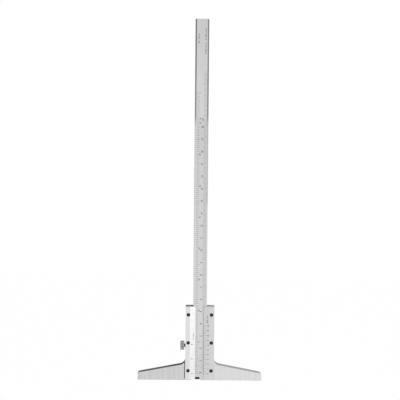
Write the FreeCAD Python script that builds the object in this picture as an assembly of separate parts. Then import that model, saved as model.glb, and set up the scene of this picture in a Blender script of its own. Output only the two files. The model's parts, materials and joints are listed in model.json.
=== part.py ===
import FreeCAD, Part
import math
import os

# Vernier depth gauge, reading 0 to 200 mm and 0 to 8 in. Millimetres throughout.
# +Z runs up the beam, the scales face -Y and the origin is the middle of the measuring face.
# The gauge is drawn closed, at zero: the tip of the beam is level with the measuring face.

# T-shaped frame
base_length = 101.1
frame_thickness = 7.5
wing_end_height = 5.8
wing_root_height = 13.25
column_width = 23.5
column_height = 60.7
root_fillet = 5.0
wing_corner = 1.2
column_corner = 0.5
edge_break = 0.25

# Beam
beam_length = 293.6
beam_width = 11.3
beam_thickness = 3.5
rail_width = 1.2
panel_recess = 0.1
beam_edge_break = 0.2
beam_end_break = 0.4
tip_width = 5.0
tip_root_width = 6.0
tip_height = 2.7
tip_break = 0.12

# Channel that guides the beam
beam_side_play = 0.04
beam_face_play = 0.05
relief_radius = 0.4
mouth_break = 0.3

# Vernier plates
plate_thickness = 1.3
plate_edge_thickness = 0.25
window_edges = {"metric": 3.0, "inch": 3.6}
bevel_widths = {"metric": 4.7, "inch": 4.5}
plate_side_inset = 0.05
plate_top_inset = 0.2
plate_bottom_inset = 0.9
plate_edge_break = 0.2

# Countersunk screws that hold the plates
screw_inset = 2.35
lower_screw_inset = 7.15
upper_screw_inset = 6.7
screw_diameter = 1.4
screw_head_diameter = 2.7
screw_length = 2.4
screw_rim = 0.08
screw_slot_width = 0.4
screw_slot_depth = 0.32
screw_hole_play = 0.02
screw_hole_spare = 0.1
screw_turns = {
    "metric": {"lower": 24.0, "middle": 78.0, "upper": 141.0},
    "inch": {"lower": 102.0, "middle": 39.0, "upper": 12.0},
}

# Gib strip between the beam and the clamp, and the two dog-point screws that keep it in place
gib_end_inset = 5.0
gib_thickness = 0.5
gib_width = 3.2
gib_play = 0.03
gib_travel = 0.45
gib_wall_play = 0.12
gib_hole_diameter = 1.5
gib_hole_inset = 6.5
gib_corner = 0.6
gib_screw_diameter = 2.0
gib_screw_sunk = 0.4
gib_screw_break = 0.2
dog_diameter = 1.2
dog_gap = 0.15
gib_screw_slot_width = 0.35
gib_screw_slot_depth = 0.6

# Knurled clamp screw
clamp_below_screws = 2.65
clamp_set_back = 0.4
knob_diameter = 7.6
knob_thickness = 3.3
knob_gap = 0.8
knob_edge_break = 0.35
knob_groove_width = 0.6
knob_groove_depth = 0.3
knob_face_recess = 0.25
knob_face_rim = 0.9
knurl_count = 40
knurl_depth = 0.22
stud_diameter = 2.7
stud_bore_play = 0.01
stud_hole_play = 0.03
stud_in_knob = 2.2
stud_end_break = 0.3
stud_gib_gap = 0.02

# Places that follow from the sizes above
frame_front = -frame_thickness / 2
frame_back = frame_thickness / 2
half_base = base_length / 2
half_column = column_width / 2
half_beam = beam_width / 2
beam_front = frame_front + beam_face_play
beam_back = beam_front + beam_thickness
beam_middle = (beam_front + beam_back) / 2
channel_floor = beam_back + beam_face_play
channel_right = half_beam + beam_side_play
gib_right = -half_beam - gib_play
gib_left = gib_right - gib_thickness
channel_left = gib_left - gib_travel - gib_wall_play
plate_front = frame_front - plate_thickness
plate_bottom = plate_bottom_inset
plate_top = column_height - plate_top_inset
plate_outer = half_column - plate_side_inset
plate_sides = {"metric": 1, "inch": -1}
lower_screw = plate_bottom + lower_screw_inset
upper_screw = plate_top - upper_screw_inset
screw_heights = {
    "lower": lower_screw,
    "middle": (lower_screw + upper_screw) / 2,
    "upper": upper_screw,
}
screw_side = half_column - screw_inset
clamp_middle = beam_middle + clamp_set_back
clamp_height = screw_heights["middle"] - clamp_below_screws
knob_inner = -half_column - knob_gap
knob_outer = knob_inner - knob_thickness
gib_bottom = gib_end_inset
gib_top = column_height - gib_end_inset
gib_screw_heights = {
    "lower": gib_bottom + gib_hole_inset,
    "upper": gib_top - gib_hole_inset,
}

X_AXIS = FreeCAD.Vector(1, 0, 0)
Y_AXIS = FreeCAD.Vector(0, 1, 0)
Z_AXIS = FreeCAD.Vector(0, 0, 1)
past = 1.0  # how far a cutting tool runs past the faces it cuts
near = 0.001  # how closely an edge has to lie on a plane to be picked


def block(x0, x1, y0, y1, z0, z1):
    corner = FreeCAD.Vector(x0, y0, z0)
    return Part.makeBox(x1 - x0, y1 - y0, z1 - z0, corner)


def rod(radius, start, direction, length):
    return Part.makeCylinder(radius, length, start, direction)


def prism(points, direction):
    """Closed outline through the points, pushed along the direction."""
    outline = Part.makePolygon(points + [points[0]])
    return Part.Face(outline).extrude(direction)


def turned(profile, centre, direction):
    """Body of revolution. The profile is (distance along the axis, radius) pairs."""
    points = [FreeCAD.Vector(along, radius, 0) for along, radius in profile]
    points = [FreeCAD.Vector(profile[0][0], 0, 0)] + points + [FreeCAD.Vector(profile[-1][0], 0, 0)]
    face = Part.Face(Part.makePolygon(points + [points[0]]))
    solid = face.revolve(FreeCAD.Vector(0, 0, 0), X_AXIS, 360)
    turn = FreeCAD.Rotation(X_AXIS, direction)
    solid.Placement = FreeCAD.Placement(centre, turn)
    return solid


def edges_where(shape, test):
    """The edges whose end points all pass the test."""
    return [edge for edge in shape.Edges if all(test(vertex.Point) for vertex in edge.Vertexes)]


def cross_edges(shape, x, z):
    """The edges that run front to back through the point x, z."""
    return edges_where(shape, lambda p: abs(p.x - x) < near and abs(p.z - z) < near)


def frame_blank():
    """The T outline, with its fillets and broken edges, before the channel and the holes."""
    right_side = [
        (half_base, 0),
        (half_base, wing_end_height),
        (half_column, wing_root_height),
        (half_column, column_height),
    ]
    left_side = [(-x, z) for x, z in reversed(right_side)]
    points = [FreeCAD.Vector(x, frame_front, z) for x, z in right_side + left_side]
    blank = prism(points, Y_AXIS * frame_thickness)
    for side in (1, -1):
        root = cross_edges(blank, side * half_column, wing_root_height)
        blank = blank.makeFillet(root_fillet, root)
        tip = cross_edges(blank, side * half_base, wing_end_height)
        blank = blank.makeFillet(min(wing_corner, wing_end_height / 2), tip)
        top = cross_edges(blank, side * half_column, column_height)
        blank = blank.makeFillet(column_corner, top)
    for plane in (frame_front, frame_back):
        rim = edges_where(blank, lambda p: abs(p.y - plane) < near)
        blank = blank.makeChamfer(edge_break, rim)
    return blank


def channel():
    """Space of the beam and the gib, with relief grooves in its corners and broken mouths."""
    low = -past
    high = column_height + past
    space = block(channel_left, channel_right, frame_front - past, channel_floor, low, high)
    for x in (channel_left, channel_right):
        groove = rod(relief_radius, FreeCAD.Vector(x, channel_floor, low), Z_AXIS, high - low)
        space = space.fuse(groove)
    for z, way in ((column_height, 1), (0, -1)):
        mouth = [
            FreeCAD.Vector(channel_left, frame_front - past, z - way * mouth_break),
            FreeCAD.Vector(channel_right, frame_front - past, z - way * mouth_break),
            FreeCAD.Vector(channel_right + mouth_break + past, frame_front - past, z + way * past),
            FreeCAD.Vector(channel_left - mouth_break - past, frame_front - past, z + way * past),
        ]
        space = space.fuse(prism(mouth, Y_AXIS * (channel_floor - frame_front + past)))
    return space


def screw_places():
    """(name, x, height, slot angle) of each plate screw."""
    places = []
    for plate, side in plate_sides.items():
        for level, height in screw_heights.items():
            name = plate + "_plate_screw_" + level
            places.append((name, side * screw_side, height, screw_turns[plate][level]))
    return places


def base_frame():
    solid = frame_blank().cut(channel())
    depth = screw_length - plate_thickness + screw_hole_spare
    for _, x, z, _ in screw_places():
        start = FreeCAD.Vector(x, frame_front - past, z)
        solid = solid.cut(rod(screw_diameter / 2 + screw_hole_play, start, Y_AXIS, depth + past))
    side_holes = [(stud_diameter / 2 + stud_hole_play, clamp_middle, clamp_height)]
    for height in gib_screw_heights.values():
        side_holes.append((gib_screw_diameter / 2 + screw_hole_play, beam_middle, height))
    for radius, y, z in side_holes:
        start = FreeCAD.Vector(-half_column - past, y, z)
        solid = solid.cut(rod(radius, start, X_AXIS, half_column + channel_left + past * 2))
    return solid


def beam():
    """Bar with two lapped rails and a sunk panel for the scales. Its lower end is cut back to a tip."""
    edge = beam_edge_break
    panel = half_beam - rail_width
    sunk = beam_front + panel_recess
    right_half = [
        (panel - panel_recess, sunk),
        (panel, beam_front),
        (half_beam - edge, beam_front),
        (half_beam, beam_front + edge),
        (half_beam, beam_back - edge),
        (half_beam - edge, beam_back),
    ]
    section = right_half + [(-x, y) for x, y in reversed(right_half)]
    bar = prism([FreeCAD.Vector(x, y, 0) for x, y in section], Z_AXIS * beam_length)
    bar = bar.common(broken_end()).cut(tip_notch())
    return bar.makeChamfer(tip_break, tip_edges(bar))


def broken_end():
    """Plain bar of the beam's outside with its upper end chamfered all round."""
    plain = block(-half_beam, half_beam, beam_front, beam_back, 0, beam_length)
    rim = edges_where(plain, lambda p: abs(p.z - beam_length) < near)
    return plain.makeChamfer(beam_end_break, rim)


def tip_notch():
    """What is cut away beside the measuring tip, with a slanted side."""
    foot = half_beam - tip_width
    root = half_beam - tip_root_width
    lean = (foot - root) / tip_height
    points = [
        FreeCAD.Vector(-half_beam - past, beam_front - past, -past),
        FreeCAD.Vector(foot + lean * past, beam_front - past, -past),
        FreeCAD.Vector(root, beam_front - past, tip_height),
        FreeCAD.Vector(-half_beam - past, beam_front - past, tip_height),
    ]
    return prism(points, Y_AXIS * (beam_thickness + past * 2))


def tip_edges(bar):
    """The short edges of the measuring tip, at its left and right sides."""
    def at_tip(p, x):
        return abs(p.z) < near and abs(p.x - x) < near

    left = edges_where(bar, lambda p: at_tip(p, half_beam - tip_width))
    right = edges_where(bar, lambda p: at_tip(p, half_beam))
    return left + right


def countersink(x, z):
    """Clearance hole for one plate screw and the cone that its head seats on, as a cutting tool."""
    play = screw_hole_play
    radius = screw_diameter / 2 + play
    head = screw_head_diameter / 2 + play
    cone_start = screw_rim - play
    profile = [
        (-past, head),
        (cone_start, head),
        (cone_start + head - radius, radius),
        (plate_thickness + past, radius),
    ]
    return turned(profile, FreeCAD.Vector(x, plate_front, z), Y_AXIS)


def vernier_plate(name):
    """Plate on the frame, bevelled down to a thin edge over the beam."""
    side = plate_sides[name]
    window = window_edges[name]
    outer = side * plate_outer
    left, right = sorted((side * window, outer))
    plate = block(left, right, plate_front, frame_front, plate_bottom, plate_top)
    rim = edges_where(plate, lambda p: abs(p.y - plate_front) < near)
    rim = [edge for edge in rim if abs(edge.CenterOfMass.x - side * window) > near]
    plate = plate.makeChamfer(plate_edge_break, rim)
    fall = plate_thickness - plate_edge_thickness
    steepness = fall / bevel_widths[name]
    bevel = [
        FreeCAD.Vector(side * (window + bevel_widths[name]), plate_front, 0),
        FreeCAD.Vector(side * (window - past), plate_front + fall + past * steepness, 0),
        FreeCAD.Vector(side * (window - past), plate_front - past, 0),
        FreeCAD.Vector(side * (window + bevel_widths[name]), plate_front - past, 0),
    ]
    plate = plate.cut(prism(bevel, Z_AXIS * column_height))
    for height in screw_heights.values():
        plate = plate.cut(countersink(side * screw_side, height))
    return plate


def plate_screw(x, z, slot_angle):
    radius = screw_diameter / 2
    head = screw_head_diameter / 2
    profile = [
        (0, head),
        (screw_rim, head),
        (screw_rim + head - radius, radius),
        (screw_length, radius),
    ]
    screw = turned(profile, FreeCAD.Vector(x, plate_front, z), Y_AXIS)
    slot = block(
        -head - past,
        head + past,
        plate_front - past,
        plate_front + screw_slot_depth,
        -screw_slot_width / 2,
        screw_slot_width / 2,
    )
    slot.rotate(FreeCAD.Vector(0, 0, 0), Y_AXIS, slot_angle)
    slot.translate(FreeCAD.Vector(x, 0, z))
    return screw.cut(slot)


def gib_strip():
    """Bronze strip that the clamp presses on the edge of the beam."""
    half_width = gib_width / 2
    strip = block(
        gib_left,
        gib_right,
        beam_middle - half_width,
        beam_middle + half_width,
        gib_bottom,
        gib_top,
    )
    corners = edges_where(strip, lambda p: abs(abs(p.y - beam_middle) - half_width) < near)
    corners = [edge for edge in corners if abs(edge.Length - gib_thickness) < near]
    strip = strip.makeFillet(gib_corner, corners)
    for height in gib_screw_heights.values():
        start = FreeCAD.Vector(gib_left - past, beam_middle, height)
        strip = strip.cut(rod(gib_hole_diameter / 2, start, X_AXIS, gib_thickness + past * 2))
    return strip


def gib_screw(height):
    """Headless screw whose dog point stands in a hole of the gib strip."""
    outer = -half_column + gib_screw_sunk
    shoulder = channel_left
    point = -half_beam - dog_gap
    radius = gib_screw_diameter / 2
    profile = [
        (0, radius - gib_screw_break),
        (gib_screw_break, radius),
        (shoulder - outer, radius),
        (shoulder - outer, dog_diameter / 2),
        (point - outer, dog_diameter / 2),
    ]
    screw = turned(profile, FreeCAD.Vector(outer, beam_middle, height), X_AXIS)
    slot = block(
        outer - past,
        outer + gib_screw_slot_depth,
        beam_middle - radius - past,
        beam_middle + radius + past,
        height - gib_screw_slot_width / 2,
        height + gib_screw_slot_width / 2,
    )
    return screw.cut(slot)


def knurled_prism():
    """Toothed bar round the clamp's axis, as long as the knob."""
    outer = knob_diameter / 2
    inner = outer - knurl_depth
    points = []
    for step in range(2 * knurl_count):
        angle = math.pi * step / knurl_count
        radius = outer if step % 2 else inner
        y = clamp_middle + radius * math.cos(angle)
        z = clamp_height + radius * math.sin(angle)
        points.append(FreeCAD.Vector(knob_outer, y, z))
    return prism(points, X_AXIS * knob_thickness)


def clamp_knob():
    """Knurled head with a groove round its rim and a sunk outer face, bored for the stud."""
    outer = knob_diameter / 2
    middle = knob_thickness / 2
    face_radius = outer - knob_face_rim
    profile = [
        (knob_face_recess, face_radius - knob_face_recess),
        (0, face_radius),
        (0, outer - knob_edge_break),
        (knob_edge_break, outer),
        (middle - knob_groove_width / 2, outer),
        (middle, outer - knob_groove_depth),
        (middle + knob_groove_width / 2, outer),
        (knob_thickness - knob_edge_break, outer),
        (knob_thickness, outer - knob_edge_break),
    ]
    centre = FreeCAD.Vector(knob_outer, clamp_middle, clamp_height)
    knob = turned(profile, centre, X_AXIS).common(knurled_prism())
    bore_start = FreeCAD.Vector(knob_inner - stud_in_knob, clamp_middle, clamp_height)
    bore = rod(stud_diameter / 2 + stud_bore_play, bore_start, X_AXIS, stud_in_knob + past)
    return knob.cut(bore)


def clamp_stud():
    """Threaded stud, pressed into the knob, whose end bears on the gib strip."""
    start = knob_inner - stud_in_knob
    length = gib_left - stud_gib_gap - start
    radius = stud_diameter / 2
    profile = [
        (0, radius - stud_end_break),
        (stud_end_break, radius),
        (length - stud_end_break, radius),
        (length, radius - stud_end_break),
    ]
    return turned(profile, FreeCAD.Vector(start, clamp_middle, clamp_height), X_AXIS)


def pieces():
    made = {
        "base_frame": base_frame(),
        "beam": beam(),
        "metric_vernier_plate": vernier_plate("metric"),
        "inch_vernier_plate": vernier_plate("inch"),
        "gib_strip": gib_strip(),
        "clamp_knob": clamp_knob(),
        "clamp_stud": clamp_stud(),
    }
    for name, x, z, slot_angle in screw_places():
        made[name] = plate_screw(x, z, slot_angle)
    for level, height in gib_screw_heights.items():
        made["gib_screw_" + level] = gib_screw(height)
    return made


def main():
    os.makedirs("parts", exist_ok=True)
    for name, shape in pieces().items():
        solids = shape.Solids
        if len(solids) != 1 or not shape.isValid():
            raise ValueError(name + " isn't one valid solid")
        solids[0].exportStep("parts/" + name + ".step")
        print(name, round(solids[0].Volume, 3))


main()
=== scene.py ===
import json
import math

import bmesh
import bpy
from mathutils import Matrix, Vector


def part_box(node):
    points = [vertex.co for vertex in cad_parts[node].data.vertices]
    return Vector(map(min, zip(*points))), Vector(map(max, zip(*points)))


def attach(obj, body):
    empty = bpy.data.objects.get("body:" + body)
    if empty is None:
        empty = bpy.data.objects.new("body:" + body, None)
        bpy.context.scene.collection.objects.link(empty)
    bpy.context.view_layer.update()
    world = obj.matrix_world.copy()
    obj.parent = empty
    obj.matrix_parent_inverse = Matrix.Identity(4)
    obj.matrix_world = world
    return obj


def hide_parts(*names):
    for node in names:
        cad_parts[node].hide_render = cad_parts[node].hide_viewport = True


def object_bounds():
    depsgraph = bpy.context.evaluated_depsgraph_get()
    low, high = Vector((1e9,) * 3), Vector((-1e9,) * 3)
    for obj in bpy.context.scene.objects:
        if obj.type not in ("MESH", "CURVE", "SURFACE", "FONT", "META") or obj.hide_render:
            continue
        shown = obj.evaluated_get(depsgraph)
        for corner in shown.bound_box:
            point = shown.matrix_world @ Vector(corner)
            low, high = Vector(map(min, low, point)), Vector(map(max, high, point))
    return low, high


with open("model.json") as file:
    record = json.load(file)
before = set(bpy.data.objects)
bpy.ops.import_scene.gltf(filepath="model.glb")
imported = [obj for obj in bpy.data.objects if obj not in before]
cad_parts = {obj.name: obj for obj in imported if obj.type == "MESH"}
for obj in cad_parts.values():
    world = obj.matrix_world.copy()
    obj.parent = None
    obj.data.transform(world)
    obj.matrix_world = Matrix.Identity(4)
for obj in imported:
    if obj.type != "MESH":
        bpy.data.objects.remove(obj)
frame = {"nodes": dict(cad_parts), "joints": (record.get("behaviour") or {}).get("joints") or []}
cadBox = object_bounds()
print("frame loaded with", len(frame["nodes"]), "pieces of steel and bronze")

mm = 0.001
inch = 25.4 * mm
white = (1.0, 1.0, 1.0, 1.0)
bumpHeight = 0.02 * mm        # of the grinding marks


def grey(value):
    return (value, value, value, 1.0)


# Camera, as the photograph was taken: a little above the middle of the gauge and looking slightly down

cameraPlan = {
    "distance": 680 * mm,        # from the lens to the face of the beam, straight across
    "frameWidth": 324.35 * mm,        # what 400 pixels span at that distance
    "lensX": -0.82 * mm,
    "lensZ": 167.67 * mm,
    "pitchDegrees": 1.72,
    "rollDegrees": 0.51,
    "sensor": 36.0,
    "clip": (0.01, 20.0),
}


def makeCamera(plan):
    data = bpy.data.cameras.new("camera")
    data.sensor_width = plan["sensor"]
    data.sensor_fit = "HORIZONTAL"
    data.lens = plan["sensor"] * plan["distance"] / plan["frameWidth"]
    data.clip_start, data.clip_end = plan["clip"]
    camera = bpy.data.objects.new("camera", data)
    bpy.context.scene.collection.objects.link(camera)
    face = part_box("beam")[0].y
    pitch = Matrix.Rotation(math.radians(90 - plan["pitchDegrees"]), 4, "X")
    roll = Matrix.Rotation(math.radians(plan["rollDegrees"]), 4, "Z")
    place = (plan["lensX"], face - plan["distance"], plan["lensZ"])
    camera.matrix_world = Matrix.Translation(place) @ pitch @ roll
    bpy.context.scene.camera = camera


makeCamera(cameraPlan)
bpy.context.scene.view_settings.view_transform = "Standard"
print("camera placed")


# Node trees

class Wire:
    # a socket in a node tree; sums written with it add Math nodes
    def __init__(self, tree, socket=None):
        self.tree = tree
        self.socket = socket

    def add(self, kind, settings=None, inputs=None, outlet=0):
        node = self.tree.nodes.new("ShaderNode" + kind)
        for key, value in (settings or {}).items():
            setattr(node, key, value)
        for key, value in (inputs or {}).items():
            if isinstance(value, Wire):
                self.tree.links.new(value.socket, node.inputs[key])
            else:
                node.inputs[key].default_value = value
        return Wire(self.tree, node.outputs[outlet])

    def sum(self, operation, first, second=0.0, clamp=False):
        return self.add("Math", {"operation": operation, "use_clamp": clamp}, {0: first, 1: second})

    def __add__(self, other):
        return self.sum("ADD", self, other)

    def __radd__(self, other):
        return self.sum("ADD", other, self)

    def __sub__(self, other):
        return self.sum("SUBTRACT", self, other)

    def __rsub__(self, other):
        return self.sum("SUBTRACT", other, self)

    def __mul__(self, other):
        return self.sum("MULTIPLY", self, other)

    def __rmul__(self, other):
        return self.sum("MULTIPLY", other, self)

    def __abs__(self):
        return self.sum("ABSOLUTE", self)

    def highest(self, other):
        return self.sum("MAXIMUM", self, other)

    def step(self, start, end):
        # 0 before start, 1 after end, smooth between; start may be the larger
        return self.add("MapRange", {"interpolation_type": "SMOOTHSTEP"}, {0: self, 1: start, 2: end})

    def mix(self, first, second):
        # a colour from first, where this wire is 0, to second, where it is 1
        settings = {"data_type": "RGBA"}
        return self.add("Mix", settings, {0: self, 6: first, 7: second}, 2)

    def axes(self):
        return [self.add("SeparateXYZ", None, {0: self}, axis) for axis in range(3)]

    def stretch(self, scales):
        return self.add("Mapping", None, {"Vector": self, "Scale": scales})

    def noise(self, scale, detail=2.0, roughness=0.5):
        inputs = {"Vector": self, "Scale": scale, "Detail": detail, "Roughness": roughness}
        return self.add("TexNoise", None, inputs)

    def into(self, node, name):
        self.tree.links.new(self.socket, node.inputs[name])


def newMaterial(name, metallic=1.0, **sockets):
    material = bpy.data.materials.new(name)
    material.use_nodes = True
    shader = material.node_tree.nodes["Principled BSDF"]
    shader.inputs["Metallic"].default_value = metallic
    for key, value in sockets.items():
        shader.inputs[key].default_value = value
    return material, shader, Wire(material.node_tree)


def places(wire):
    # millimetres in the piece's own frame, and its surface direction
    spot = wire.add("TexCoord", None, None, "Object")
    spot = spot.add("VectorMath", {"operation": "SCALE"}, {0: spot, "Scale": 1 / mm}, 0)
    facing = wire.add("TexCoord", None, None, "Normal")
    return spot, facing


def brokenEdges(facing):
    # 1 on the narrow chamfers, which face between two axes
    x, y, z = [abs(part) for part in facing.axes()]
    return x.highest(y).highest(z).step(0.93, 0.86)


def over(below, above, mask):
    # the value above where mask is 1, the value below elsewhere
    return below + mask * (above - below)


def band(value, low, high, soft):
    # 1 between low and high
    return value.step(low - soft, low) * value.step(high + soft, high)


def finish(shader, wire, tone, roughness, height, strength):
    # the last nodes of every steel: a neutral tone, gloss and relief
    tone.mix(grey(0.0), white).into(shader, "Base Color")
    roughness.sum("ADD", roughness, 0.0, True).into(shader, "Roughness")
    bump = wire.add("Bump", None, {"Strength": strength, "Distance": bumpHeight, "Height": height})
    bump.into(shader, "Normal")


def groundLines(spot, along, fineness, detail=3.0):
    # streaks along one axis, as a grinding wheel or a long lap leaves them
    scales = [fineness, fineness, fineness]
    scales["xyz".index(along)] = fineness / 60
    return spot.stretch(scales).noise(1.0, detail, 0.6)


def scratches(spot, angle, spread, fineness):
    # a few hair lines that cross the surface at about one angle
    turned = spot.add("VectorRotate", {"rotation_type": "Y_AXIS"}, {"Vector": spot, "Angle": angle})
    lines = turned.stretch((fineness, fineness, fineness / 90)).noise(1.0, 1.0)
    return lines.step(0.5 + spread, 0.5 + spread + 0.03)


# Ground stainless frame: its top edges are left as milled and darkened by a painted dark reflection, lit on
# the right as painted light, and the front is painted lighter towards the right. The channel, its mouth and
# the left wing's root carry painted shade, the wing tips a painted highlight, and a painted shadow lies
# beside the left plate. Places are in mm, and a pair of them says where a tone begins and where it is full

frameFinish = {
    # painted light: the front is shaded on the left and lit on the right, where the light falls
    "shadedLeftTone": 0.645,
    "litRightTone": 0.724,
    "leftToRight": (-14, 14),
    "toneSpread": 0.03,
    "leftStreaks": 0.17,
    "rightStreaks": 0.09,
    # the milled top faces: as milled, darkened further by a painted dark reflection, and lighter on the
    # right as painted light
    "milledAndShadedTone": 0.48,
    "litRightMilledTone": 0.66,
    "litRightMilledFrom": (12, 15),
    "milledRoughness": 0.26,
    "tipHighlightTone": 0.98,         # the tops of the wing tips, a painted highlight
    "tipHighlightFrom": (46.8, 49),
    "columnTop": 1.06,         # brightness of the column's top, away from the channel
    "mouthShadeTone": 0.5,         # and beside the channel, darkened as painted shade
    "mouthShadeFrom": (11.2, 7.4),
    "mouthShadeHeight": (55, 58),
    "rootShade": 0.6,         # how much painted shade darkens the milled top where the left wing meets the column
    "rootShadeFrom": (-27, -21),
    "rootShadeTo": (-8, -12),
    # painted shade in the recessed channel
    "channelShadeTone": 0.06,
    "channelRoughness": 0.45,
    "channelHalf": 7.2,
    # painted shadow of the plates' outer edges on the wings
    "plateShadowTone": 0.12,
    "plateShadowWidth": 0.75,
    "rightPlateShadowShare": 0.3,        # how strong the painted shadow beside the right plate is against the left one's
    "roughness": 0.30,
    "smudge": 0.09,
    "edgeRoughness": 0.16,
    "lappedRoughness": 0.10,
    "linesPerMm": 9.0,
    "relief": 0.16,
}


def frameSteel(plan):
    material, shader, wire = newMaterial("groundFrameSteel")
    spot, facing = places(wire)
    x, y, z = spot.axes()
    faceY, faceZ = facing.axes()[1:]
    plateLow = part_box("inch_vernier_plate")[0] / mm
    half = plan["channelHalf"]
    frontY, backY = [corner.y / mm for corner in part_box("base_frame")]
    lines = groundLines(spot, "z", plan["linesPerMm"])
    streaks = groundLines(spot, "z", 0.5, 3.0)
    clouds = spot.noise(0.11, 3.0, 0.55)
    smudges = spot.noise(0.35, 4.0, 0.6).step(0.42, 0.72)
    front = faceY.step(-0.6, -0.9)
    upright = abs(faceY).step(0.5, 0.3)
    upward = faceZ.step(0.25, 0.7) * upright
    lapped = faceZ.step(-0.9, -0.99)
    edges = brokenEdges(facing) * abs(faceY).step(0.2, 0.35)
    channel = band(x, -half, half, 0.1) * band(y, frontY + 0.08, backY - 0.3, 0.05)
    channel = channel * (1 - abs(faceZ).step(0.4, 0.6))
    # painted shadow of the left plate's outer edge on the wing, and a fainter one beside the right plate
    plateShadow = band(x, plateLow.x - plan["plateShadowWidth"], plateLow.x + 0.2, 0.05)
    plateShadow = plateShadow * z.step(plateLow.z + 0.3, plateLow.z + 0.8)
    plateShadow = plateShadow * front * spot.noise(0.8, 2.0).step(0.1, 0.45)
    rightPlateShadow = band(x, -plateLow.x - 0.1, -plateLow.x + 0.15, 0.05) * front * plan["rightPlateShadowShare"]
    # painted light: the front runs from shaded on the left to lit on the right
    rightward = over(0.5, x.step(*plan["leftToRight"]), front)
    # painted shade where the left wing's top meets the column
    rootShadeMask = x.step(*plan["rootShadeFrom"]) * x.step(*plan["rootShadeTo"]) * plan["rootShade"]
    tone = over(plan["shadedLeftTone"], plan["litRightTone"], rightward)
    uneven = (streaks - 0.5) * over(plan["leftStreaks"], plan["rightStreaks"], rightward)
    tone = tone * (1 + (clouds - 0.5) * plan["toneSpread"] * 2 + uneven * 2)
    # milled top faces with a painted dark reflection, lit on the right as painted light
    milledAndShaded = over(plan["milledAndShadedTone"], plan["litRightMilledTone"], x.step(*plan["litRightMilledFrom"]))
    # painted shade on the column's top beside the channel
    mouthShade = abs(x).step(*plan["mouthShadeFrom"]) * z.step(*plan["mouthShadeHeight"])
    mouthShade = mouthShade * (plan["columnTop"] - plan["mouthShadeTone"])
    milledAndShaded = milledAndShaded * (0.85 + clouds * 0.3) * (1 - rootShadeMask) * (plan["columnTop"] - mouthShade)
    tone = over(tone, milledAndShaded, upward)
    # painted highlight on the tops of the wing tips
    tipHighlight = abs(x).step(*plan["tipHighlightFrom"]) * faceZ.step(0.05, 0.25) * upright
    tone = over(tone, plan["tipHighlightTone"], tipHighlight)
    # painted shade in the recessed channel, varied by smudges
    tone = over(tone, plan["channelShadeTone"] * (0.7 + smudges * 0.6), channel)
    tone = over(tone, plan["plateShadowTone"], plateShadow.highest(rightPlateShadow))
    roughness = smudges * plan["smudge"] + (lines - 0.5) * 0.12 + plan["roughness"]
    roughness = over(roughness, plan["edgeRoughness"], edges)
    roughness = over(roughness, plan["milledRoughness"], upward)
    roughness = over(roughness, plan["channelRoughness"], channel)
    roughness = over(roughness, plan["lappedRoughness"] + lines * 0.06, lapped)
    hairs = scratches(spot, 0.5, 0.22, 1.6).highest(scratches(spot, -1.1, 0.23, 1.3))
    height = lines * (1 - 0.8 * lapped) - hairs * 0.6
    finish(shader, wire, tone, roughness, height, plan["relief"])
    return material


# Beam: satin panel that carries the scales, lapped rails on each side of it, ground sides and back

beamFinish = {
    "tone": 0.69,
    "upperTone": 0.785,     # lighter towards the top of the beam
    "upperHeight": (200, 224),
    "handledTone": 0.66,     # near the zero lines, where grime stays in the grain
    "handledHeight": (32, 12),
    "grime": 0.12,
    "toneSpread": 0.03,
    "railTone": 0.66,
    "darkReflectionRailTone": 0.5,         # of the left rail near its upper end, a painted dark reflection
    "darkReflectionRailHeight": (225, 262),
    # painted highlight: a bright strip on the panel beside each rail
    "stripHighlightTone": 0.77,
    "stripFrom": (3.7, 3.95),
    "shadedStripTone": 0.67,         # of the right strip in its lower half, painted shade beside the rail's step
    "shadedStripHeight": (190, 90),
    "panelRoughness": 0.36,
    "railRoughness": 0.06,
    "sideRoughness": 0.24,
    "linesPerMm": 10.0,
    "grainPerMm": 14.0,
    "relief": 0.12,
}


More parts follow.
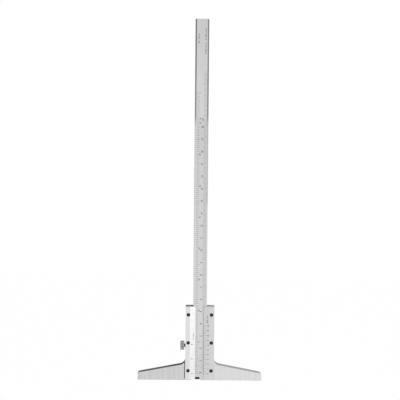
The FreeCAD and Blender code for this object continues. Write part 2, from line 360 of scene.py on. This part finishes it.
def beamSteel(plan):
    material, shader, wire = newMaterial("satinBeamSteel")
    spot, facing = places(wire)
    x, y, z = spot.axes()
    faceY = facing.axes()[1]
    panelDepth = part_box("beam")[0].y / mm + 0.05
    front = faceY.step(-0.6, -0.9)
    panel = front * y.step(panelDepth - 0.02, panelDepth + 0.02)
    rails = front * (1 - panel)
    # painted highlight beside each rail
    strips = panel * abs(x).step(*plan["stripFrom"])
    lines = groundLines(spot, "z", plan["linesPerMm"])
    grain = spot.noise(plan["grainPerMm"], 2.0, 0.6)
    clouds = spot.noise(0.09, 3.0, 0.5)
    smudges = spot.noise(0.3, 4.0, 0.6).step(0.45, 0.75)
    upperPart = z.step(*plan["upperHeight"])
    handled = z.step(*plan["handledHeight"])
    grime = handled * spot.noise(0.9, 4.0, 0.65).step(0.5, 0.75)
    tone = over(plan["tone"], plan["upperTone"], upperPart)
    tone = over(tone, plan["handledTone"], handled) * (1 - grime * plan["grime"])
    # painted shade on the right strip's lower half
    wearAndShade = x.step(0, 1) * z.step(*plan["shadedStripHeight"])
    # painted dark reflection on the left rail near its upper end
    railDarkReflection = x.step(1, 0) * z.step(*plan["darkReflectionRailHeight"])
    strip = over(plan["stripHighlightTone"], plan["shadedStripTone"], wearAndShade)
    rail = over(plan["railTone"], plan["darkReflectionRailTone"], railDarkReflection)
    tone = over(over(tone, strip, strips), rail, rails)
    tone = tone * (1 + (clouds - 0.5) * plan["toneSpread"] * 2 + (lines - 0.5) * plan["toneSpread"])
    roughness = plan["panelRoughness"] + smudges * 0.07 + (grain - 0.5) * 0.08
    side = plan["sideRoughness"] + (lines - 0.5) * 0.16 + smudges * 0.05
    polish = plan["railRoughness"] + (lines - 0.5) * 0.04 + smudges * 0.02
    roughness = roughness * panel + polish * rails + side * (1 - front)
    hairs = scratches(spot, 0.08, 0.21, 1.5).highest(scratches(spot, 0.9, 0.24, 1.2))
    height = grain * panel * 0.5 + lines * (1 - front) * 0.35 + lines * rails * 0.15 - hairs * 0.4
    finish(shader, wire, tone, roughness, height, plan["relief"])
    return material


# Vernier plates: satin chrome, with painted shade along the thin edge and round the screw heads

plateFinish = {
    "metric_vernier_plate": {
        "side": 1,
        "screw": "metric_plate_screw",
        "tone": 0.676,
        "thinEdgeShadeTone": 0.2,
        "milledAndShadedTone": 0.28,
        "roughness": 0.31,
    },
    "inch_vernier_plate": {
        "side": -1,
        "screw": "inch_plate_screw",
        "tone": 0.775,
        "thinEdgeShadeTone": 0.7,
        "milledAndShadedTone": 0.35,
        "roughness": 0.29,
    },
    "toneSpread": 0.022,
    "thinEdgeShadeWidth": 0.18,         # mm, of the painted shade along the thin edge
    "headRingShadeTone": 0.06,
    "headRingShadeWidth": 0.12,         # mm, of the painted shade round each screw head
    "edgeRoughness": 0.15,
    "grainPerMm": 11.0,
    "linesPerMm": 12.0,
    "relief": 0.12,
}


def plateSteel(plan, node):
    own = plan[node]
    material, shader, wire = newMaterial("satinChrome." + node)
    spot, facing = places(wire)
    x, y, z = spot.axes()
    faceZ = facing.axes()[2]
    side = own["side"]
    thin = min(side * corner.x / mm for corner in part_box(node))
    low, middle = [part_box(own["screw"] + place) for place in ("_lower", "_middle")]
    head = (low[1].x - low[0].x) / 2 / mm
    centre = (low[0] + low[1]) / 2 / mm
    pitch = (middle[0].z - low[0].z) / mm
    lines = groundLines(spot, "z", plan["linesPerMm"])
    grain = spot.noise(plan["grainPerMm"], 2.0, 0.6)
    clouds = spot.noise(0.13, 3.0, 0.5)
    smudges = spot.noise(0.4, 4.0, 0.6).step(0.42, 0.72)
    edges = brokenEdges(facing)
    upward = faceZ.step(0.25, 0.7)
    # painted shade along the thin edge, strongest on the metric plate
    thinEdgeShade = (x * side).step(thin + plan["thinEdgeShadeWidth"] + 0.04, thin + plan["thinEdgeShadeWidth"])
    acrossHead = x - centre.x
    alongHead = (z - centre.z).sum("PINGPONG", z - centre.z, pitch / 2)
    fromHead = acrossHead * acrossHead + alongHead * alongHead
    fromHead = fromHead.sum("SQRT", fromHead)
    # painted shade in the countersink round each screw head
    headRingShade = fromHead.step(head + plan["headRingShadeWidth"] + 0.06, head + plan["headRingShadeWidth"] - 0.04)
    uneven = (clouds - 0.5) * plan["toneSpread"] * 2 + (lines - 0.5) * plan["toneSpread"]
    tone = own["tone"] * (1 + uneven)
    tone = over(tone, own["thinEdgeShadeTone"], thinEdgeShade)
    tone = over(tone, plan["headRingShadeTone"], headRingShade)
    # the top faces: as milled, darkened further by a painted dark reflection
    tone = over(tone, own["milledAndShadedTone"], upward)
    roughness = own["roughness"] + smudges * 0.07 + (grain - 0.5) * 0.08 + (lines - 0.5) * 0.06
    roughness = over(roughness, plan["edgeRoughness"], edges)
    hairs = scratches(spot, 0.7, 0.23, 1.7)
    height = grain * 0.5 + lines * 0.4 - hairs * 0.5
    finish(shader, wire, tone, roughness, height, plan["relief"])
    return material


# Blackened screws: oxide rubbed bright on the rims, and in the slots by the screwdriver

screwFinish = {
    "tone": 0.03,
    "wornTone": 0.16,
    "slotTone": 0.1,
    "roughness": 0.36,
    "relief": 0.2,
}


def screwSteel(plan):
    material, shader, wire = newMaterial("blackenedScrewSteel")
    spot, facing = places(wire)
    y = spot.axes()[1]
    faceY = facing.axes()[1]
    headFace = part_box("inch_plate_screw_lower")[0].y / mm
    slot = band(y, headFace + 0.1, headFace + 0.5, 0.02) * faceY.step(-0.8, -0.95)
    grain = spot.noise(9.0, 3.0, 0.6)
    wearAndShade = spot.noise(3.5, 4.0, 0.7).step(0.52, 0.78) * 0.6
    wearAndShade = wearAndShade.highest(brokenEdges(facing) * spot.noise(5.0, 2.0).step(0.35, 0.6))
    tone = over(over(plan["tone"], plan["wornTone"], wearAndShade), plan["slotTone"], slot)
    roughness = plan["roughness"] + (grain - 0.5) * 0.2 - wearAndShade * 0.1
    finish(shader, wire, tone, roughness, grain, plan["relief"])
    return material


# Clamp: nickel-plated knurled head on a blackened stud

knobFinish = {
    "tone": 0.46,
    "toneSpread": 0.08,
    "roughness": 0.27,
    "turningPerMm": 7.0,
    "relief": 0.25,
}

studFinish = {
    "tone": 0.018,
    "toneSpread": 0.25,
    "roughness": 0.38,
    "turningPerMm": 5.0,
    "relief": 0.2,
}


def turnedSteel(name, plan, centre):
    material, shader, wire = newMaterial(name)
    spot = places(wire)[0]
    x, y, z = spot.axes()
    y = y - centre.y / mm
    z = z - centre.z / mm
    radius = y * y + z * z
    radius = radius.sum("SQRT", radius)
    rings = radius.add("CombineXYZ", None, {0: radius * plan["turningPerMm"], 1: x * 3.0})
    rings = rings.noise(1.0, 2.0, 0.6)
    clouds = spot.noise(1.4, 4.0, 0.6)
    tone = plan["tone"] * (1 + (clouds - 0.5) * plan["toneSpread"] * 2)
    roughness = plan["roughness"] + (rings - 0.5) * 0.16 + (clouds - 0.5) * 0.16
    finish(shader, wire, tone, roughness, rings, plan["relief"])
    return material


# Phosphor bronze gib

gibFinish = {
    "dark": (0.36, 0.17, 0.06, 1.0),
    "light": (0.62, 0.36, 0.16, 1.0),
    "roughness": 0.33,
    "relief": 0.15,
}


def gibBronze(plan):
    material, shader, wire = newMaterial("rolledGibBronze")
    spot = places(wire)[0]
    clouds = spot.noise(0.5, 5.0, 0.65)
    lines = groundLines(spot, "z", 12.0)
    clouds.mix(plan["dark"], plan["light"]).into(shader, "Base Color")
    (plan["roughness"] + (lines - 0.5) * 0.2).into(shader, "Roughness")
    bump = wire.add("Bump", None, {"Strength": plan["relief"], "Distance": bumpHeight, "Height": lines})
    bump.into(shader, "Normal")
    return material


# Black filling of the engraved lines and numbers

fillFinish = {
    "dark": grey(0.012),
    "thin": grey(0.075),
    "roughness": 0.55,
}


def fillPaint(plan):
    material, shader, wire = newMaterial("scaleBlack", metallic=0.0)
    spot = places(wire)[0]
    thin = spot.noise(1.1, 4.0, 0.65).step(0.45, 0.8)
    thin.mix(plan["dark"], plan["thin"]).into(shader, "Base Color")
    (plan["roughness"] + thin * 0.15).into(shader, "Roughness")
    return material


def coat(piece, material):
    piece.data.materials.clear()
    piece.data.materials.append(material)


knobLow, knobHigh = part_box("clamp_knob")
clampCentre = (knobLow + knobHigh) / 2
screwMaterial = screwSteel(screwFinish)
fill = fillPaint(fillFinish)
coat(frame["nodes"]["base_frame"], frameSteel(frameFinish))
coat(frame["nodes"]["beam"], beamSteel(beamFinish))
for node in ("metric_vernier_plate", "inch_vernier_plate"):
    coat(frame["nodes"][node], plateSteel(plateFinish, node))
coat(frame["nodes"]["clamp_knob"], turnedSteel("platedKnob", knobFinish, clampCentre))
coat(frame["nodes"]["gib_strip"], gibBronze(gibFinish))
for node, piece in frame["nodes"].items():
    if "screw" in node:
        coat(piece, screwMaterial)
print("metals coated")


# Mesh helpers

def newPiece(name, bm, body, material, smooth=False):
    mesh = bpy.data.meshes.new(name)
    bmesh.ops.recalc_face_normals(bm, faces=bm.faces)
    for face in bm.faces:
        face.smooth = smooth
    bm.to_mesh(mesh)
    bm.free()
    piece = bpy.data.objects.new(name, mesh)
    bpy.context.scene.collection.objects.link(piece)
    coat(piece, material)
    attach(piece, body)
    return piece


def addLine(bm, surface, start, end, width, plan):
    # one filled line: a bar sunk into the surface, from start to end in the surface's own x and y
    across = Vector((end[1] - start[1], start[0] - end[0])).normalized() * width / 2
    corners = [
        (start[0] - across.x, start[1] - across.y),
        (end[0] - across.x, end[1] - across.y),
        (end[0] + across.x, end[1] + across.y),
        (start[0] + across.x, start[1] + across.y),
    ]
    rings = []
    for height in (-plan["sunk"], plan["proud"]):
        rings.append([bm.verts.new(surface @ Vector((x, y, height))) for x, y in corners])
    bm.faces.new(rings[0])
    bm.faces.new(reversed(rings[1]))
    for number in range(4):
        after = (number + 1) % 4
        bm.faces.new((rings[0][number], rings[0][after], rings[1][after], rings[1][number]))


capHeight = 0.7        # of a capital, against the font's size
joinWithin = 0.0005 * mm


def addWords(bm, surface, words, centre, plan):
    # engraved characters, read upwards, with their middle at centre
    curve = bpy.data.curves.new("words", "FONT")
    curve.body = words
    curve.size = plan["height"] / capHeight
    curve.resolution_u = 3
    curve.align_x = "CENTER"
    curve.align_y = "CENTER"
    curve.extrude = (plan["sunk"] + plan["proud"]) / 2
    curve.offset = plan.get("bold", 0.0)
    writer = bpy.data.objects.new("words", curve)
    bpy.context.scene.collection.objects.link(writer)
    bpy.context.view_layer.update()
    mesh = bpy.data.meshes.new_from_object(writer.evaluated_get(bpy.context.evaluated_depsgraph_get()))
    lift = (plan["proud"] - plan["sunk"]) / 2
    narrow = Matrix.Diagonal((plan["narrow"], 1.0, 1.0, 1.0))
    mesh.transform(surface @ Matrix.Translation((centre[0], centre[1], lift)) @ narrow)
    bm.from_mesh(mesh)
    bpy.data.objects.remove(writer)
    bpy.data.curves.remove(curve)
    bpy.data.meshes.remove(mesh)


def closeSeams(bm):
    bmesh.ops.remove_doubles(bm, verts=bm.verts, dist=joinWithin)


# A surface's own frame has x up the gauge, y to the left and z out of the metal

def uprightSurface(origin, outward):
    out = Vector(outward).normalized()
    up = Vector((0, 0, 1))
    left = out.cross(up).normalized()
    return Matrix((
        (up.x, left.x, out.x, origin[0]),
        (up.y, left.y, out.y, origin[1]),
        (up.z, left.z, out.z, origin[2]),
        (0, 0, 0, 1),
    ))


scaleZero = 5.7 * mm        # height of both zero lines with the gauge closed
panelRecess = 0.1 * mm
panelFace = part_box("beam")[0].y + panelRecess
panelSurface = uprightSurface((0, panelFace, 0), (0, -1, 0))

lineDepth = {"sunk": 0.03 * mm, "proud": 0.004 * mm}

metricScale = {
    "lastMm": 245,
    "edge": 4.4 * mm,          # where the lines start, right of the middle
    "lengths": (2.6 * mm, 3.1 * mm, 3.1 * mm),        # each mm, each 5, each 10
    "width": 0.125 * mm,
    "firstNumber": 0,
    "lastNumber": 20,
    "numberX": 0.75 * mm,
    "numberLift": 0.6 * mm,
    "height": 1.6 * mm,
    "narrow": 0.88,
    "bold": 0.035 * mm,
    "unit": "mm",
    "unitHeight": 1.2 * mm,
    "unitX": 0.95 * mm,
    "unitZ": 212.4 * mm,
}

inchScale = {
    "lastSixteenth": 144,
    "edge": -4.35 * mm,
    "parts": (16, 8, 4, 2, 1),        # an inch, a half, a quarter, an eighth, a sixteenth
    "lengths": (4.05 * mm, 3.15 * mm, 2.85 * mm, 2.65 * mm, 2.45 * mm),
    "width": 0.17 * mm,
    "firstNumber": 1,
    "lastNumber": 8,
    "numberX": -0.9 * mm,
    "numberLift": 0.75 * mm,
    "height": 1.55 * mm,
    "narrow": 0.85,
    "bold": 0.03 * mm,
    "unit": "in",
    "unitHeight": 1.4 * mm,
    "unitX": -0.9 * mm,
    "unitZ": 213.1 * mm,
}


def metricLines(plan):
    bm = bmesh.new()
    short, middle, long = plan["lengths"]
    for count in range(plan["lastMm"] + 1):
        length = long if count % 10 == 0 else middle if count % 5 == 0 else short
        z = scaleZero + count * mm
        addLine(bm, panelSurface, (z, -plan["edge"]), (z, length - plan["edge"]), plan["width"], lineDepth)
    return newPiece("beam_metric_lines", bm, "beam", fill)


def inchLines(plan):
    bm = bmesh.new()
    for count in range(plan["lastSixteenth"] + 1):
        length = next(size for part, size in zip(plan["parts"], plan["lengths"]) if count % part == 0)
        z = scaleZero + count * inch / 16
        addLine(bm, panelSurface, (z, -plan["edge"]), (z, -plan["edge"] - length), plan["width"], lineDepth)
    return newPiece("beam_inch_lines", bm, "beam", fill)


def scaleNumbers(name, plan, division):
    bm = bmesh.new()
    style = {**lineDepth, "height": plan["height"], "narrow": plan["narrow"], "bold": plan["bold"]}
    for count in range(plan["firstNumber"], plan["lastNumber"] + 1):
        z = scaleZero + count * division + plan["numberLift"]
        addWords(bm, panelSurface, str(count), (z, -plan["numberX"]), style)
    style["height"] = plan["unitHeight"]
    addWords(bm, panelSurface, plan["unit"], (plan["unitZ"], -plan["unitX"]), style)
    closeSeams(bm)
    return newPiece(name, bm, "beam", fill)


metricLines(metricScale)
inchLines(inchScale)
scaleNumbers("beam_metric_numbers", metricScale, 10 * mm)
scaleNumbers("beam_inch_numbers", inchScale, inch)
print("beam scales engraved")


# Plain range marks near the top of the beam

rangeMarks = [
    {"words": "0-200 mm", "centre": (281.1 * mm, -2.95 * mm), "height": 1.35 * mm, "narrow": 1.2},
    {"words": "0.05 mm", "centre": (269.7 * mm, -2.95 * mm), "height": 1.35 * mm, "narrow": 1.4},
    {"words": "0 - 8 in", "centre": (277.8 * mm, 2.6 * mm), "height": 1.35 * mm, "narrow": 1.35},
]


def makeRangeMarks(plan):
    bm = bmesh.new()
    for mark in plan:
        addWords(bm, panelSurface, mark["words"], mark["centre"], {**lineDepth, **mark})
    closeSeams(bm)
    return newPiece("beam_range_marks", bm, "beam", fill)


makeRangeMarks(rangeMarks)


# Verniers: their lines start at the thin edge of each plate and climb its bevel

vernierPlans = {
    "metric_vernier_plate": {
        "side": 1,
        "divisions": 20,
        "pitch": 1.95 * mm,
        "numberEach": 2,
        "numberStep": 1,
        "lengths": (1.7 * mm, 2.4 * mm),
        "width": 0.14 * mm,
        "numberAt": 3.9 * mm,
        "label": "0.05 mm",
        "labelHeight": 1.5 * mm,
        "labelNarrow": 0.85,
        "labelAt": 3.1 * mm,
        "labelZ": 50.2 * mm,
    },
    "inch_vernier_plate": {
        "side": -1,
        "divisions": 8,
        "pitch": inch * 15 / 16 / 8,
        "numberEach": 4,
        "numberStep": 4,
        "lengths": (1.4 * mm, 1.9 * mm),
        "width": 0.1 * mm,
        "numberAt": 2.7 * mm,
        "label": "1/128in",
        "labelHeight": 1.4 * mm,
        "labelNarrow": 1.15,
        "labelBold": -0.022 * mm,
        "labelAt": 1.6 * mm,
        "labelZ": 36.0 * mm,
    },
    "height": 1.55 * mm,
    "narrow": 0.85,
}


def bevelOf(node, side):
    # the thin edge's place and the sloping face, read from the plate
    points = [vertex.co for vertex in frame["nodes"][node].data.vertices]
    tiny = 0.01 * mm
    front = min(point.y for point in points)
    thin = min(side * point.x for point in points)
    foot = min(point.y for point in points if side * point.x < thin + tiny)
    crest = min(side * point.x for point in points if point.y < front + tiny)
    slope = (foot - front) / (crest - thin)
    return uprightSurface((side * thin, foot, 0), (-side * slope, -1, 0))


def makeVernier(node, plan, shared):
    surface = bevelOf(node, plan["side"])
    way = -plan["side"]
    bm = bmesh.new()
    for count in range(plan["divisions"] + 1):
        z = scaleZero + count * plan["pitch"]
        length = plan["lengths"][1 if count % plan["numberEach"] == 0 else 0]
        addLine(bm, surface, (z, way * 0.02 * mm), (z, way * length), plan["width"], lineDepth)
    newPiece(node.replace("plate", "lines"), bm, "base", fill)
    bm = bmesh.new()
    style = {**lineDepth, "height": shared["height"], "narrow": shared["narrow"]}
    for count in range(0, plan["divisions"] + 1, plan["numberEach"]):
        z = scaleZero + count * plan["pitch"]
        words = str(count // plan["numberEach"] * plan["numberStep"])
        addWords(bm, surface, words, (z, way * plan["numberAt"]), style)
    style["height"] = plan["labelHeight"]
    style["narrow"] = plan["labelNarrow"]
    style["bold"] = plan.get("labelBold", 0.0)
    addWords(bm, surface, plan["label"], (plan["labelZ"], way * plan["labelAt"]), style)
    closeSeams(bm)
    newPiece(node.replace("plate", "numbers"), bm, "base", fill)


for node in ("metric_vernier_plate", "inch_vernier_plate"):
    makeVernier(node, vernierPlans[node], vernierPlans)
print("verniers engraved")


# Threaded stud of the clamp, in place of the plain rod

studPlan = {
    "pitch": 0.45 * mm,
    "depth": 0.16 * mm,
    "stepsAround": 48,
    "stepsPerPitch": 10,
    "chamfer": 0.3 * mm,
    "flank": 2.6,        # how steep the thread's flanks are
    "crest": 0.15,        # and how wide its flat crest
}


def threadedStud(plan):
    low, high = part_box("clamp_stud")
    centre = (low + high) / 2
    radius = (high.z - low.z) / 2
    length = high.x - low.x
    rows = round(length / plan["pitch"] * plan["stepsPerPitch"])
    bm = bmesh.new()
    rings = []
    for row in range(rows + 1):
        along = length * row / rows
        atEnd = min(along, length - along)
        limit = radius - max(0.0, plan["chamfer"] - atEnd)
        ring = []
        for number in range(plan["stepsAround"]):
            turn = number / plan["stepsAround"]
            phase = (along / plan["pitch"] - turn) % 1.0
            ramp = min(1.0, max(0.0, abs(phase - 0.5) * plan["flank"] - plan["crest"]))
            reach = min(limit, radius - plan["depth"] * ramp)
            angle = turn * 2 * math.pi
            y = centre.y + reach * math.cos(angle)
            z = centre.z + reach * math.sin(angle)
            ring.append(bm.verts.new((low.x + along, y, z)))
        rings.append(ring)
    for first, second in zip(rings, rings[1:]):
        for number in range(plan["stepsAround"]):
            after = (number + 1) % plan["stepsAround"]
            bm.faces.new((first[number], first[after], second[after], second[number]))
    bm.faces.new(rings[0])
    bm.faces.new(reversed(rings[-1]))
    material = turnedSteel("blackenedStud", studFinish, clampCentre)
    piece = newPiece("threaded_stud", bm, "clamp", material, smooth=True)
    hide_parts("clamp_stud")
    return piece


threadedStud(studPlan)
print("stud threaded")


# Studio: white all round, a bright panel to the right and dark ones where the photograph's steel shows them

floorPlan = {
    "size": 5.0,
    "clearance": 5 * mm,
    "tone": 0.9,
    "ownLight": 0.99,        # share of plain white, so that the lens sees only a trace of the shadow
}

worldPlan = {
    "seen": 1.0,
    "light": 0.5,
    "slope": 0.46,       # how much brighter the right side of the studio is than its middle
    "slopeHeight": (0.5, 0.25),        # only near the horizon
}


def seenDirectly(wire):
    # 1 for the lens and for what it sees in the steel
    camera = wire.add("LightPath", None, None, "Is Camera Ray")
    glossy = wire.add("LightPath", None, None, "Is Glossy Ray")
    through = wire.add("LightPath", None, None, "Is Transmission Ray")
    return camera.highest(glossy).highest(through)


def makeFloor(plan):
    travel = max(joint["range_m"][1] for joint in frame["joints"] if joint["name"] == "beam_slide")
    half = plan["size"] / 2
    z = cadBox[0][2] - travel - plan["clearance"]
    mesh = bpy.data.meshes.new("floor")
    corners = [(-half, -half, z), (half, -half, z), (half, half, z), (-half, half, z)]
    mesh.from_pydata(corners, [], [(0, 1, 2, 3)])
    floor = bpy.data.objects.new("floor", mesh)
    bpy.context.scene.collection.objects.link(floor)
    material, shader, wire = newMaterial("paleFloor", metallic=0.0, Roughness=0.8)
    shader.inputs["Base Color"].default_value = grey(plan["tone"])
    glow = wire.add("Emission", None, {"Color": white, "Strength": 1.0})
    share = seenDirectly(wire) * plan["ownLight"]
    both = wire.add("MixShader", None, {0: share, 1: Wire(wire.tree, shader.outputs[0]), 2: glow})
    both.into(material.node_tree.nodes["Material Output"], "Surface")
    coat(floor, material)


def makeWorld(plan):
    world = bpy.data.worlds.new("studio")
    world.use_nodes = True
    bpy.context.scene.world = world
    wire = Wire(world.node_tree)
    background = world.node_tree.nodes["Background"]
    background.inputs["Color"].default_value = white
    rightward, _, upward = wire.add("TexCoord", None, None, "Generated").axes()
    level = abs(upward).step(*plan["slopeHeight"])
    glossy = wire.add("LightPath", None, None, "Is Glossy Ray")
    seen = plan["seen"] + glossy * rightward * level * plan["slope"]
    over(plan["light"], seen, seenDirectly(wire)).into(background, "Strength")


studioPanels = {
    "lowLeftBackFlag": {"centre": (-0.26, 0.94, -0.02), "size": (0.32, 0.22), "glow": 0.04},
    "lowRightBackFlag": {"centre": (0.2, 0.94, -0.02), "size": (0.3, 0.22), "glow": 0.4},
    "leftBackFlag": {"centre": (-0.37, 0.95, 0.29), "size": (0.76, 0.4), "glow": 0.12},
    "rightBackFlag": {"centre": (0.39, 0.95, 0.29), "size": (0.74, 0.4), "glow": 0.36},
    "leftSideFlag": {"centre": (-0.8, 0.0, 0.395), "size": (0.5, 0.22), "glow": 0.3, "turn": 90},
    "highFrontFlag": {"centre": (0.0, -0.75, 0.68), "size": (0.6, 0.3), "glow": 0.2},
    "upperFrontFlag": {"centre": (0.0, -0.69, 0.3725), "size": (0.1, 0.235), "glow": 0.34},
    "middleFrontFlag": {"centre": (0.022, -0.7, 0.2), "size": (0.032, 0.16), "glow": 0.72},
    "leftMiddleFrontFlag": {"centre": (-0.026, -0.7, 0.19), "size": (0.032, 0.14), "glow": 0.8},
    "rightSoftbox": {"centre": (0.46, -0.9, 0.0), "size": (0.46, 0.42), "glow": 1.5},
}


def makePanel(name, plan):
    # an upright card seen only in the steel
    width, height = [side / 2 for side in plan["size"]]
    mesh = bpy.data.meshes.new(name)
    corners = [(-width, -height, 0), (width, -height, 0), (width, height, 0), (-width, height, 0)]
    mesh.from_pydata(corners, [], [(0, 1, 2, 3)])
    panel = bpy.data.objects.new(name, mesh)
    bpy.context.scene.collection.objects.link(panel)
    turn = Matrix.Rotation(math.radians(plan.get("turn", 0)), 4, "Z")
    turn = turn @ Matrix.Rotation(math.radians(90), 4, "X")
    panel.matrix_world = Matrix.Translation(plan["centre"]) @ turn
    panel.visible_camera = False
    panel.visible_diffuse = False
    panel.visible_shadow = False
    panel.visible_transmission = False
    material, _, wire = newMaterial(name, metallic=0.0)
    glow = wire.add("Emission", None, {"Color": white, "Strength": plan["glow"]})
    glow.into(material.node_tree.nodes["Material Output"], "Surface")
    coat(panel, material)


lampTarget = Vector((0, 0, 0.1))

lampPlans = {
    "keyLamp": {"place": (0.75, -0.85, 0.95), "size": 0.6, "energy": 1.5},
    "fillLamp": {"place": (-0.8, -0.9, 0.5), "size": 0.9, "energy": 1.2},
    "backLamp": {"place": (0.5, 1.0, 0.8), "size": 0.7, "energy": 1.5},
}


def makeLamp(name, plan):
    data = bpy.data.lights.new(name, "AREA")
    data.size = plan["size"]
    data.energy = plan["energy"]
    lamp = bpy.data.objects.new(name, data)
    bpy.context.scene.collection.objects.link(lamp)
    towards = lampTarget - Vector(plan["place"])
    turn = towards.to_track_quat("-Z", "Y").to_matrix().to_4x4()
    lamp.matrix_world = Matrix.Translation(plan["place"]) @ turn


makeFloor(floorPlan)
makeWorld(worldPlan)
for name, plan in studioPanels.items():
    makePanel(name, plan)
for name, plan in lampPlans.items():
    makeLamp(name, plan)
print("studio lit")
